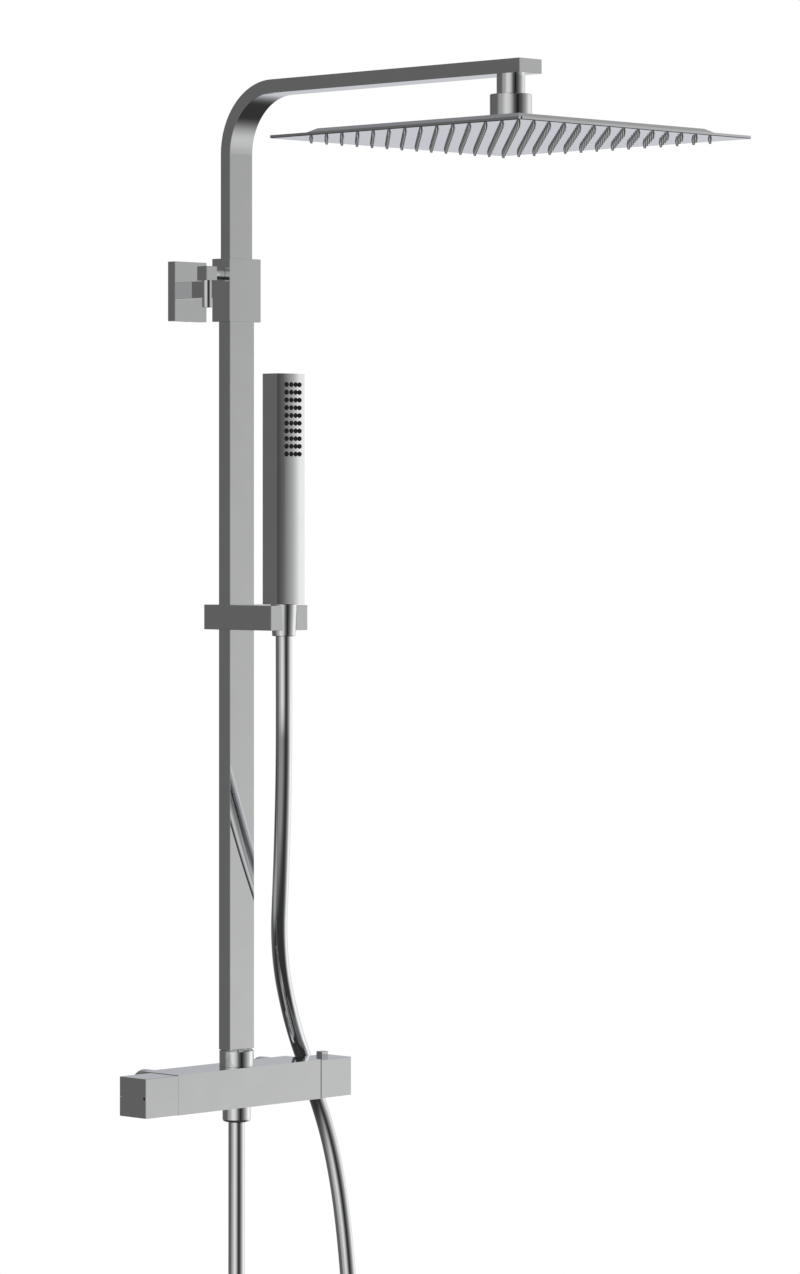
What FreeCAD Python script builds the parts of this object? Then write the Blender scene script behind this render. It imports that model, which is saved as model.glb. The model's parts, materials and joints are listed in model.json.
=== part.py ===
"""Rainfall shower column: thermostatic bar valve, telescopic riser, square rain head, handset and hose.

Frame: +Z up, the wall is the plane Y = 0 and the room lies towards -Y, X runs along the valve.
The origin is on the wall midway between the two inlets, at the height of the valve's centre.
"""
import FreeCAD
import Part
import math
import os
import re
import Sketcher
from FreeCAD import Placement, Rotation, Vector

DIMENSIONS = {
    # valve
    "inlet_centres": 150.0,
    "valve_axis": 72.2,
    "body_length": 183.0,
    "body_front": 89.6,
    "body_back": 42.5,
    "body_height": 36.6,
    "bore_radius": 14.5,
    "bore_depth": 55.0,
    "gallery_radius": 6.0,
    "port_radius": 10.25,
    "port_depth": 10.8,
    "cartridge_length": 46.5,
    "cartridge_foot": 0.5,
    "cartridge_fit": 0.2,
    "groove_depth": 2.1,
    "groove_width": 2.4,
    "near_groove": 6.6,
    "far_groove": 31.6,
    "seal_wire": 1.05,
    "nut_ring_length": 7.0,
    "nut_ring_recess": 0.5,
    "stop_ring_radius": 12.5,
    "stop_ring_bore": 9.0,
    "stop_ring_thickness": 3.0,
    "stop_tab_width": 4.0,
    "stop_tab_top": 14.0,
    "spindle_radius": 4.0,
    "spindle_fit": 0.08,
    "spindle_pocket": 8.0,
    "spindle_end": 125.2,
    "spindle_length": 79.7,
    # knobs
    "knob_end": 132.0,
    "knob_depth": 34.8,
    "knob_height": 35.8,
    "knob_wall": 1.8,
    "flow_gap": 0.2,
    "temperature_gap": 1.0,
    "hub_radius": 8.0,
    "hub_length": 24.0,
    "dimple_radius": 1.4,
    "dimple_offset": 15.2,
    "dimple_depth": 0.8,
    "screw_offset": 4.0,
    "edge_round": 0.3,
    "screw_radius": 2.0,
    "button_length": 8.0,
    "button_width": 7.5,
    "button_proud": 3.8,
    "button_x": 118.5,
    "button_y": 64.3,
    "button_foot": 13.0,
    "button_flange": 0.7,
    "button_flange_height": 2.4,
    "button_round": 0.4,
    "spring_foot": 5.0,
    "spring_radius": 2.6,
    "spring_pitch": 1.5,
    "spring_height": 7.2,
    "spring_wire": 0.35,
    # inlets
    "inlet_nut_radius": 17.8,
    "inlet_nut_length": 17.5,
    "inlet_thread_radius": 12.06,
    "inlet_thread_length": 8.3,
    "inlet_collar": 5.0,
    # riser
    "riser_axis": 70.85,
    "riser_width": 30.9,
    "riser_depth": 15.1,
    "riser_wall": 1.0,
    "riser_bottom": 34.2,
    "riser_top": 722.0,
    "union_radius": 16.0,
    "union_chamfer": 1.5,
    "nipple_radius": 13.0,
    "outlet_nut_radius": 13.05,
    "outlet_nut_bottom": 33.2,
    "outlet_round": 2.4,
    # upper tube and arm
    "upper_width": 28.7,
    "upper_depth": 12.5,
    "upper_wall": 1.2,
    "upper_bottom": 500.0,
    "bend_radius": 59.0,
    "arm_level": 920.6,
    "arm_reach": 440.6,
    "end_cap": 1.5,
    "slide_fit": 0.2,
    # sleeve and wall bracket
    "sleeve_width": 39.9,
    "sleeve_depth": 23.6,
    "sleeve_height": 58.2,
    "sleeve_bottom": 706.6,
    "wiper_height": 3.0,
    "plate_width": 40.66,
    "plate_height": 55.6,
    "plate_depth": 9.6,
    "plate_wall": 2.0,
    "plate_bottom": 708.8,
    "fixing_depth": 7.0,
    "fixing_screw_spacing": 34.0,
    "fixing_screw_radius": 2.6,
    "grub_length": 7.0,
    "grub_recess": 0.5,
    "bracket_width": 19.1,
    "bracket_height": 15.4,
    "bracket_level": 737.7,
    "bolt_radius": 3.0,
    "lever_level": 750.4,
    "lever_stem_radius": 5.55,
    "lever_stem_length": 11.2,
    "lever_cube": 13.1,
    "lever_rod_radius": 4.5,
    "lever_rod_length": 24.9,
    "clamp_thread_radius": 4.0,
    # rain head
    "head_reach": 416.9,
    "head_size": 300.0,
    "head_bottom": 858.0,
    "face_thickness": 1.0,
    "rim_thickness": 1.7,
    "chamber_foot": 263.0,
    "chamber_top": 240.0,
    "chamber_height": 6.2,
    "cover_wall": 1.5,
    "nozzle_count": 14,
    "nozzle_pitch": 19.03,
    "nozzle_root": 2.1,
    "nozzle_tip": 1.15,
    "nozzle_length": 4.4,
    "nozzle_hole_fit": 0.1,
    "plate_inset": 5.0,
    "nozzle_backing": 1.2,
    "head_corner": 2.5,
    "head_bevel": 0.6,
    "neck_radius": 12.6,
    "swivel_radius": 18.55,
    "swivel_top": 896.7,
    "swivel_height": 20.0,
    "ball_radius": 9.0,
    "ball_level": 884.0,
    "ball_stem_radius": 4.5,
    "ball_bore": 2.8,
    # holder and handset
    "holder_width": 46.8,
    "holder_front": 140.5,
    "holder_back": 51.9,
    "holder_bottom": 422.4,
    "holder_height": 22.9,
    "holder_fit": 0.4,
    "cone_axis": 133.2,
    "cone_bottom": 417.0,
    "cone_length": 29.1,
    "cone_small": 10.75,
    "cone_big": 12.0,
    "cone_fit": 0.3,
    "handset_width": 35.5,
    "handset_back": 122.9,
    "handset_seam": 141.5,
    "handset_edge": 142.4,
    "handset_bulge": 3.6,
    "handset_bottom": 446.3,
    "handset_height": 211.2,
    "handset_wall": 1.8,
    "spray_rows": 10,
    "spray_row_pitch": 7.06,
    "spray_column_pitch": 5.5,
    "spray_top": 647.4,
    "spray_tip_inner": 147.0,
    "spray_tip_outer": 146.5,
    "face_lower_round": 0.6,
    "spray_radius": 2.2,
    "spray_taper": 0.4,
    "spigot_radius": 10.4,
    "spigot_neck": 7.0,
    # hose
    "hose_radius": 7.6,
    "hose_bore_fit": 0.3,
}

doc = FreeCAD.newDocument("shower_column")
sheet = doc.addObject("Spreadsheet::Sheet", "dims")
for row, (alias, value) in enumerate(DIMENSIONS.items(), start=1):
    sheet.set(f"A{row}", alias)
    sheet.set(f"B{row}", str(value))
    sheet.setAlias(f"B{row}", alias)
doc.recompute()

ALIAS = re.compile(r"\b(" + "|".join(sorted(DIMENSIONS, key=len, reverse=True)) + r")\b")
AXIS_TURN = {
    "X": Rotation(Vector(0, 1, 0), 90),
    "Y": Rotation(Vector(1, 0, 0), -90),
    "Z": Rotation(),
}
parts = []


# ---------------------------------------------------------------- helpers
def formula(text):
    """A size written with the sheet's aliases, as an expression on the sheet."""
    return ALIAS.sub(r"dims.\1", str(text))


def size(text):
    """The same size as a number."""
    probe = doc.addObject("App::FeaturePython", "probe")
    probe.addProperty("App::PropertyFloat", "Value")
    probe.setExpression("Value", formula(text))
    probe.recompute()
    value = float(probe.Value)
    doc.removeObject(probe.Name)
    return value


def bind(obj, prop, text):
    obj.setExpression(prop, formula(text))


def place(obj, corner, axis="Z"):
    """Turns the object's own Z onto the axis, then binds its origin to the corner."""
    obj.Placement = Placement(Vector(), AXIS_TURN[axis])
    for letter, text in zip("xyz", corner):
        bind(obj, f"Placement.Base.{letter}", text)
    return obj


def box(name, low, high):
    """A box between two corners."""
    obj = doc.addObject("Part::Box", name)
    for prop, a, b in zip(("Length", "Width", "Height"), low, high):
        bind(obj, prop, f"({b}) - ({a})")
    return place(obj, low)


def rod(name, radius, length, start, axis="Z"):
    obj = doc.addObject("Part::Cylinder", name)
    bind(obj, "Radius", radius)
    bind(obj, "Height", length)
    return place(obj, start, axis)


def cone(name, radius_start, radius_end, length, start, axis="Z"):
    obj = doc.addObject("Part::Cone", name)
    bind(obj, "Radius1", radius_start)
    bind(obj, "Radius2", radius_end)
    bind(obj, "Height", length)
    return place(obj, start, axis)


def ball(name, radius, centre):
    obj = doc.addObject("Part::Sphere", name)
    bind(obj, "Radius", radius)
    return place(obj, centre)


def ring(name, major, minor, centre, axis):
    obj = doc.addObject("Part::Torus", name)
    bind(obj, "Radius1", major)
    bind(obj, "Radius2", minor)
    return place(obj, centre, axis)


def frustum(name, foot, top, height, centre):
    """A square frustum standing on centre: foot and top are its side lengths."""
    obj = doc.addObject("Part::Wedge", name)
    for prop, text in (
        ("Xmin", f"-({foot}) / 2"), ("Xmax", f"({foot}) / 2"),
        ("Zmin", f"-({foot}) / 2"), ("Zmax", f"({foot}) / 2"),
        ("X2min", f"-({top}) / 2"), ("X2max", f"({top}) / 2"),
        ("Z2min", f"-({top}) / 2"), ("Z2max", f"({top}) / 2"),
        ("Ymin", "0"), ("Ymax", height),
    ):
        bind(obj, prop, text)
    obj.Placement = Placement(Vector(), Rotation(Vector(1, 0, 0), 90))
    for letter, text in zip("xyz", centre):
        bind(obj, f"Placement.Base.{letter}", text)
    return obj


def join(name, pieces):
    obj = doc.addObject("Part::MultiFuse", name)
    obj.Shapes = pieces
    obj.Refine = True
    return obj


def group(name, pieces):
    """Separate identical pieces that share one node."""
    obj = doc.addObject("Part::Compound", name)
    obj.Links = pieces
    return obj


def cut(name, base, tools):
    obj = doc.addObject("Part::Cut", name)
    obj.Base = base
    obj.Tool = tools[0] if len(tools) == 1 else join(name + "_tools", tools)
    obj.Refine = True
    return obj


def common(name, first, second):
    obj = doc.addObject("Part::Common", name)
    obj.Base = first
    obj.Tool = second
    return obj


def soften(name, base, radius, wanted, kind="Part::Fillet"):
    """Rounds or chamfers the edges of base for which wanted(edge) is true."""
    doc.recompute()
    obj = doc.addObject(kind, name)
    obj.Base = base
    edges = enumerate(base.Shape.Edges, start=1)
    obj.Edges = [(i, radius, radius) for i, edge in edges if wanted(edge)]
    return obj


def part(label, obj):
    obj.Label = label
    parts.append(obj)
    return obj


def origin_plane(body, role):
    return next(f for f in body.Origin.OriginFeatures if f.Role == role)


def new_sketch(body, name, role):
    sketch = body.newObject("Sketcher::SketchObject", name)
    sketch.AttachmentSupport = (origin_plane(body, role), "")
    sketch.MapMode = "FlatFace"
    return sketch


def pin_point(sketch, index, x, y):
    """Fixes the start of one line at (x, y), both sizes on the sheet."""
    for kind, text, axis, tag in (("DistanceX", x, -2, "x"), ("DistanceY", y, -1, "y")):
        if str(text) == "0":
            sketch.addConstraint(Sketcher.Constraint("PointOnObject", index, 1, axis))
            continue
        number = sketch.addConstraint(Sketcher.Constraint(kind, -1, 1, index, 1, size(text)))
        sketch.renameConstraint(number, f"{tag}{index}")
        bind(sketch, f"Constraints.{tag}{index}", text)


def closed_outline(sketch, corners):
    """A closed outline of straight lines through corners given as pairs of sizes."""
    points = [Vector(size(x), size(y), 0) for x, y in corners]
    first = sketch.GeometryCount
    count = len(points)
    for i, point in enumerate(points):
        sketch.addGeometry(Part.LineSegment(point, points[(i + 1) % count]), False)
    for i in range(count):
        after = first + (i + 1) % count
        sketch.addConstraint(Sketcher.Constraint("Coincident", first + i, 2, after, 1))
    for i, (x, y) in enumerate(corners):
        pin_point(sketch, first + i, x, y)


def turned(name, profile, start, axis="Z"):
    """A lathe-turned piece: profile holds (radius, distance along the axis) pairs."""
    body = doc.addObject("PartDesign::Body", name)
    sketch = new_sketch(body, name + "_profile", "XZ_Plane")
    closed_outline(sketch, profile)
    turn = body.newObject("PartDesign::Revolution", name + "_turn")
    turn.Profile = sketch
    turn.ReferenceAxis = (sketch, ["V_Axis"])
    turn.Angle = 360.0
    sketch.Visibility = False
    return place(body, start, axis)


def padded(name, outlines, length, start):
    """A straight extrusion along Z of one outline, or of an outline with holes in it."""
    body = doc.addObject("PartDesign::Body", name)
    sketch = new_sketch(body, name + "_section", "XY_Plane")
    for outline in outlines:
        closed_outline(sketch, outline)
    pad = body.newObject("PartDesign::Pad", name + "_pad")
    pad.Profile = sketch
    bind(pad, "Length", length)
    return place(body, start)


def rectangle(width, depth):
    """Corners of a rectangle centred on the sketch's origin."""
    return [
        (f"-({width}) / 2", f"-({depth}) / 2"),
        (f"({width}) / 2", f"-({depth}) / 2"),
        (f"({width}) / 2", f"({depth}) / 2"),
        (f"-({width}) / 2", f"({depth}) / 2"),
    ]


# ---------------------------------------------------------------- valve
def valve_body():
    half = "body_length / 2"
    axis = "-valve_axis"
    block = box(
        "valve_block",
        (f"-{half}", "-body_front", "-body_height / 2"),
        (half, "-body_back", "body_height / 2"),
    )
    tools = [
        rod("left_bore", "bore_radius", "bore_depth + 1", (f"-{half} - 1", axis, "0"), "X"),
        rod("right_bore", "bore_radius", "bore_depth + 1", (f"{half} - bore_depth", axis, "0"), "X"),
        rod("gallery", "gallery_radius", "body_length - 2 * bore_depth + 2",
            (f"bore_depth - {half} - 1", axis, "0"), "X"),
        rod("top_port", "port_radius", "port_depth + 1",
            ("0", "-riser_axis", "body_height / 2 - port_depth")),
        rod("bottom_port", "port_radius", "port_depth + 1",
            ("0", "-riser_axis", "-body_height / 2 - 1")),
        rod("cross_gallery", "gallery_radius", "body_height - 2 * port_depth + 2",
            ("0", "-riser_axis", "port_depth - body_height / 2 - 1")),
    ]
    for side, sign in (("left", "-"), ("right", "")):
        tools.append(rod(
            f"{side}_inlet_port", "port_radius", "valve_axis - body_back - 8",
            (f"{sign}inlet_centres / 2", "-(valve_axis - 9)", "0"), "Y",
        ))
    part("valve_body", cut("valve_body", block, tools))


def cartridge(name, label, mirror):
    """A cartridge with two seal grooves in the bore, its outer end towards the knob."""
    skin = "bore_radius - cartridge_fit"
    groove = f"{skin} - groove_depth"
    pocket = "spindle_radius + spindle_fit"
    far_end = "far_groove + groove_width"
    near_end = "near_groove + groove_width"
    profile = [
        (pocket, "spindle_pocket"), (pocket, "cartridge_length"), (skin, "cartridge_length"),
        (skin, far_end), (groove, far_end), (groove, "far_groove"), (skin, "far_groove"),
        (skin, near_end), (groove, near_end), (groove, "near_groove"), (skin, "near_groove"),
        (skin, "0"), ("spindle_radius - 1", "0"), ("spindle_radius - 1", "spindle_pocket"),
    ]
    start = f"{mirror}(body_length / 2 - bore_depth + cartridge_foot)"
    body = turned(name, profile, (start, "-valve_axis", "0"), "X")
    if mirror:
        body.Placement.Rotation = Rotation(Vector(0, 1, 0), -90)
    part(label, body)


def cartridges():
    cartridge("hot_side", "thermostat_cartridge", "")
    cartridge("flow_side", "diverter_cartridge", "-")
    seals = []
    for i, mirror in enumerate(("", "-")):
        for k, groove in enumerate(("near_groove", "far_groove")):
            along = f"cartridge_foot + {groove} + groove_width / 2"
            centre = f"{mirror}(body_length / 2 - bore_depth + {along})"
            seals.append(ring(
                f"seal_{i}_{k}", "bore_radius - seal_wire - 0.15", "seal_wire",
                (centre, "-valve_axis", "0"), "X",
            ))
    part("cartridge_seals", group("cartridge_seals", seals))
    nuts = []
    for side, start in (
        ("right", "body_length / 2 - nut_ring_length - nut_ring_recess"),
        ("left", "-body_length / 2 + nut_ring_recess"),
    ):
        blank = rod(f"{side}_ring", "bore_radius - 0.1", "nut_ring_length",
                    (start, "-valve_axis", "0"), "X")
        hole = rod(f"{side}_ring_hole", "spindle_radius + 2.5", "nut_ring_length + 2",
                   (f"{start} - 1", "-valve_axis", "0"), "X")
        nuts.append(cut(f"{side}_ring_nut", blank, [hole]))
    part("cartridge_nuts", group("cartridge_nuts", nuts))


def stop_ring():
    """Ring with one tab that the temperature knob turns against, seated on the ring nut."""
    start = "body_length / 2 - nut_ring_recess"
    blank = rod("stop_blank", "stop_ring_radius", "stop_ring_thickness",
                (start, "-valve_axis", "0"), "X")
    hole = rod("stop_hole", "stop_ring_bore", "stop_ring_thickness + 2",
               (f"{start} - 1", "-valve_axis", "0"), "X")
    tab = box(
        "stop_tab",
        (start, "-valve_axis - stop_tab_width / 2", "stop_ring_radius - 1"),
        (f"{start} + stop_ring_thickness", "-valve_axis + stop_tab_width / 2", "stop_tab_top"),
    )
    part("temperature_stop_ring", cut("stop_ring", join("stop_body", [blank, tab]), [hole]))


def spindles():
    for label, start in (
        ("thermostat_spindle", "spindle_end - spindle_length"),
        ("diverter_spindle", "-spindle_end"),
    ):
        shaft = rod(label, "spindle_radius", "spindle_length", (start, "-valve_axis", "0"), "X")
        part(label, shaft)


def knob(name, inner, outer, sign):
    """A hollow square knob: inner and outer are its ends along X, sign points outwards."""
    low, high = sorted((inner, outer), key=size)
    half_depth = "knob_depth / 2"
    half_height = "knob_height / 2"
    shell = box(
        name + "_blank",
        (low, f"-valve_axis - {half_depth}", f"-{half_height}"),
        (high, f"-valve_axis + {half_depth}", half_height),
    )
    inner_end = size(inner)
    shell = soften(
        name + "_round", shell, size("edge_round"),
        lambda edge: abs(edge.CenterOfMass.x - inner_end) > 1,
    )
    wall = "knob_wall"
    room_low = f"({low}) - 1" if sign > 0 else f"({low}) + {wall}"
    room_high = f"({high}) - {wall}" if sign > 0 else f"({high}) + 1"
    room = box(
        name + "_room",
        (room_low, f"-valve_axis - {half_depth} + {wall}", f"-{half_height} + {wall}"),
        (room_high, f"-valve_axis + {half_depth} - {wall}", f"{half_height} - {wall}"),
    )
    hub_start = f"({high}) - hub_length - 0.5" if sign > 0 else f"({low}) + 0.5"
    hub = rod(name + "_hub", "hub_radius", "hub_length", (hub_start, "-valve_axis", "0"), "X")
    socket_start = f"({high}) - hub_length - 1.5" if sign > 0 else f"({low}) + 5.5"
    socket = rod(
        name + "_socket", "spindle_radius + 0.05", "hub_length - 4",
        (socket_start, "-valve_axis", "0"), "X",
    )
    screw_x = f"({low} + {high}) / 2 + {sign} * screw_offset"
    screw_hole = rod(
        name + "_screw_hole", "screw_radius + 0.1", f"{half_height} + 1",
        (screw_x, "-valve_axis", f"-{half_height} - 1"),
    )
    dimples = [
        rod(f"{name}_dimple_{k}", "dimple_radius", "2 * dimple_depth",
            (f"({outer}) - dimple_depth", f"-valve_axis + {side} * dimple_offset", "0"), "X")
        for k, side in enumerate((-1, 1))
    ]
    hollow = cut(name + "_hollow", shell, [room])
    solid = join(name + "_solid", [hollow, hub])
    return solid, [socket, screw_hole] + dimples, screw_x


def knob_screw(label, x):
    screw = rod(
        label, "screw_radius", "knob_height / 2 - spindle_radius - 1.6",
        (x, "-valve_axis", "-knob_height / 2 + 1.5"),
    )
    part(label, screw)


def knobs():
    solid, tools, screw_x = knob("flow", "-(body_length / 2 + flow_gap)", "-knob_end", -1)
    part("flow_knob", cut("flow_knob", solid, tools))
    knob_screw("flow_knob_screw", screw_x)

    near = "body_length / 2 + temperature_gap"
    solid, tools, screw_x = knob("temperature", near, "knob_end", 1)
    shelf = box(
        "button_shelf",
        ("button_x - 0.5", "-button_y - 0.7", "spring_foot - 2"),
        ("button_x + button_length + 0.5", "-valve_axis + knob_depth / 2 - 1", "spring_foot"),
    )
    window = box(
        "button_window",
        ("button_x - 0.1", "-button_y - 0.1", "0.4 * knob_height"),
        ("button_x + button_length + 0.1", "-button_y + button_width + 0.1", "knob_height / 2 + 1"),
    )
    solid = join("temperature_with_shelf", [solid, shelf])
    part("temperature_knob", cut("temperature_knob", solid, tools + [window]))
    knob_screw("temperature_knob_screw", screw_x)


def button():
    top = "knob_height / 2 + button_proud"
    cap = box(
        "button_cap",
        ("button_x", "-button_y", "button_foot"),
        ("button_x + button_length", "-button_y + button_width", top),
    )
    cap = soften("button_rounded", cap, size("button_round"), lambda edge: edge.BoundBox.ZMin > 20)
    flange = box(
        "button_flange",
        ("button_x - button_flange", "-button_y - button_flange", "button_foot"),
        ("button_x + button_length + button_flange", "-button_y + button_width",
         "button_foot + button_flange_height"),
    )
    part("safety_button", join("safety_button", [cap, flange]))

    coil = doc.addObject("Part::Helix", "spring_coil")
    bind(coil, "Pitch", "spring_pitch")
    bind(coil, "Height", "spring_height")
    bind(coil, "Radius", "spring_radius")
    wire = doc.addObject("Part::Circle", "spring_wire_section")
    bind(wire, "Radius", "spring_wire")
    wire.Placement = Placement(Vector(size("spring_radius"), 0, 0), Rotation(Vector(1, 0, 0), 90))
    spring = doc.addObject("Part::Sweep", "button_spring")
    spring.Sections = [wire]
    spring.Spine = coil
    spring.Solid = True
    spring.Frenet = True
    place(spring, ("button_x + button_length / 2", "-button_y + button_width / 2", "spring_foot + 0.4"))
    part("button_spring", spring)


# ---------------------------------------------------------------- inlets and unions
def inlets():
    washers = []
    valves = []
    tails = []
    for side, x in (("left", "-inlet_centres / 2"), ("right", "inlet_centres / 2")):
        thread_start = "inlet_nut_length - inlet_thread_length"
        profile = [
            ("port_radius + 0.1", "0"), ("inlet_nut_radius - 0.8", "0"), ("inlet_nut_radius", "0.8"),
            ("inlet_nut_radius", "inlet_nut_length - 0.8"),
            ("inlet_nut_radius - 0.8", "inlet_nut_length"),
            ("inlet_thread_radius", "inlet_nut_length"), ("inlet_thread_radius", thread_start),
            ("inlet_thread_radius + 0.4", thread_start), ("inlet_thread_radius + 0.4", "inlet_collar"),
            ("port_radius + 0.1", "inlet_collar"),
        ]
        start = (x, "-body_back", "0")
        part(f"inlet_nut_{side}", turned(f"inlet_nut_{side}", profile, start, "Y"))
        tail = [
            ("7.5", "0"), ("port_radius - 0.05", "0"), ("port_radius - 0.05", "inlet_collar + 8.1"),
            ("inlet_thread_radius - 0.2", "inlet_collar + 8.1"),
            ("inlet_thread_radius - 0.2", "inlet_collar + 10"), ("7.5", "inlet_collar + 10"),
        ]
        tails.append(turned(f"tail_{side}", tail, (x, "-body_back - 8", "0"), "Y"))
        ring_start = "-body_back + inlet_collar + 2.1"
        outer = rod(f"{side}_washer", "inlet_thread_radius - 0.3", "1.9", (x, ring_start, "0"), "Y")
        inner = rod(f"{side}_washer_hole", "7.5", "4", (x, f"{ring_start} - 1", "0"), "Y")
        washers.append(cut(f"{side}_filter_washer", outer, [inner]))
        shell = rod(f"{side}_check", "7.4", "11", (x, "-body_back - 7", "0"), "Y")
        bore = rod(f"{side}_check_bore", "4", "13", (x, "-body_back - 8", "0"), "Y")
        valves.append(cut(f"{side}_check_valve", shell, [bore]))
    part("inlet_tails", group("inlet_tails", tails))
    part("inlet_filter_washers", group("inlet_filter_washers", washers))
    part("check_valves", group("check_valves", valves))


def riser_union():
    top = "body_height / 2"
    base = f"{top} - port_depth + 0.1"
    nipple = [
        ("6.5", "0"), ("port_radius - 0.05", "0"), ("port_radius - 0.05", "port_depth + 0.3"),
        ("nipple_radius", "port_depth + 0.3"), ("nipple_radius", "port_depth + 6.5"),
        ("6.5", "port_depth + 6.5"),
    ]
    part("riser_nipple", turned("riser_nipple", nipple, ("0", "-riser_axis", base)))
    washer_start = f"{top} + 6.6"
    outer = rod("riser_washer", "nipple_radius - 0.3", "2", ("0", "-riser_axis", washer_start))
    hole = rod("riser_washer_hole", "7", "4", ("0", "-riser_axis", f"{washer_start} - 1"))
    riser_washer = cut("riser_flat_washer", outer, [hole])
    outer = rod("outlet_washer", "port_radius - 0.15", "2", ("0", "-riser_axis", "-outlet_nut_bottom + 4"))
    hole = rod("outlet_washer_hole", "5.5", "4", ("0", "-riser_axis", "-outlet_nut_bottom + 3"))
    outlet_washer = cut("outlet_flat_washer", outer, [hole])
    part("union_washers", group("union_washers", [riser_washer, outlet_washer]))

    flange_start = f"{top} + 8.6"
    foot = join("foot_solid", [
        rod("foot_flange", "nipple_radius - 0.2", "2.6", ("0", "-riser_axis", flange_start)),
        rod("foot_neck", "10", f"riser_bottom - ({flange_start})", ("0", "-riser_axis", flange_start)),
        box("foot_plug",
            ("-riser_width / 2 + riser_wall + 0.05", "-riser_axis - riser_depth / 2 + riser_wall + 0.05",
             "riser_bottom"),
            ("riser_width / 2 - riser_wall - 0.05", "-riser_axis + riser_depth / 2 - riser_wall - 0.05",
             "riser_bottom + 20")),
    ])
    bore = rod("foot_bore", "5", "40", ("0", "-riser_axis", flange_start + " - 1"))
    part("riser_foot", cut("riser_foot", foot, [bore]))

    length = "riser_bottom - body_height / 2 - 0.3"
    nut = [
        ("nipple_radius + 0.1", "0"), ("union_radius", "0"),
        ("union_radius", f"{length} - union_chamfer"), ("union_radius - union_chamfer", length),
        ("10.2", length), ("10.2", f"{length} - 3.2"), ("nipple_radius + 0.1", f"{length} - 3.2"),
    ]
    part("top_union_nut", turned("top_union_nut", nut, ("0", "-riser_axis", f"{top} + 0.1")))


def outlet_union():
    nipple = [
        ("6", "0"), ("port_radius - 0.05", "0"),
        ("port_radius - 0.05", "outlet_nut_bottom - 6.1 - body_height / 2 + port_depth - 0.2"),
        ("6", "outlet_nut_bottom - 6.1 - body_height / 2 + port_depth - 0.2"),
    ]
    start = "-outlet_nut_bottom + 6.1"
    part("outlet_nipple", turned("outlet_nipple", nipple, ("0", "-riser_axis", start)))
    length = "outlet_nut_bottom - body_height / 2 - 0.1"
    thread = "port_radius + 0.1"
    hole = "hose_radius + hose_bore_fit"
    nut = [
        (hole, "0"), ("outlet_nut_radius - outlet_round", "0"),
        ("outlet_nut_radius - 0.3 * outlet_round", "0.3 * outlet_round"),
        ("outlet_nut_radius", "outlet_round"), ("outlet_nut_radius", length), (thread, length),
        (thread, "3.9"), (hole, "3.9"),
    ]
    start = "-outlet_nut_bottom"
    part("hose_swivel_nut", turned("hose_swivel_nut", nut, ("0", "-riser_axis", start)))


# ---------------------------------------------------------------- riser, sleeve and wall bracket
def lower_riser():
    outlines = [
        rectangle("riser_width", "riser_depth"),
        rectangle("riser_width - 2 * riser_wall", "riser_depth - 2 * riser_wall"),
    ]
    start = ("0", "-riser_axis", "riser_bottom")
    tube = padded("riser_section", outlines, "riser_top - riser_bottom", start)
    corner = size("riser_width / 2") - 0.01
    part("lower_riser_tube", soften(
        "lower_riser_tube", tube, size("edge_round"),
        lambda edge: edge.Length > 100 and abs(edge.CenterOfMass.x) > corner,
    ))


def centred_box(name, width, depth, bottom, top):
    """A box centred on the riser's axis."""
    return box(
        name,
        (f"-({width}) / 2", f"-riser_axis - ({depth}) / 2", bottom),
        (f"({width}) / 2", f"-riser_axis + ({depth}) / 2", top),
    )


def sleeve():
    top = "sleeve_bottom + sleeve_height"
    block = centred_box("sleeve_block", "sleeve_width", "sleeve_depth", "sleeve_bottom", top)
    block = soften("sleeve_round", block, size("edge_round"), lambda edge: True)
    tools = [
        centred_box("riser_socket", "riser_width + 0.2", "riser_depth + 0.2",
                    "sleeve_bottom - 1", "riser_top + 0.2"),
        centred_box("upper_guide", "upper_width + 2 * slide_fit", "upper_depth + 2 * slide_fit",
                    "riser_top - 1", f"{top} + 1"),
        centred_box("wiper_seat", "upper_width + 4.4", "upper_depth + 4.4",
                    f"{top} - wiper_height - 0.2", f"{top} + 1"),
        rod("clamp_hole", "clamp_thread_radius + 0.1", "8",
            ("-sleeve_width / 2 - 1", "-riser_axis", "lever_level"), "X"),
        rod("bolt_hole", "bolt_radius + 0.1", "5",
            ("0", "-riser_axis + sleeve_depth / 2 - 4", "bracket_level"), "Y"),
    ]
    part("bracket_sleeve", cut("bracket_sleeve", block, tools))
    outer = centred_box("wiper_outer", "upper_width + 4.2", "upper_depth + 4.2",
                        f"{top} - wiper_height - 0.1", f"{top} - 0.3")
    inner = centred_box("wiper_inner", "upper_width + 0.3", "upper_depth + 0.3",
                        f"{top} - wiper_height - 1", f"{top} + 1")
    part("sleeve_wiper", cut("sleeve_wiper", outer, [inner]))


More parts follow.
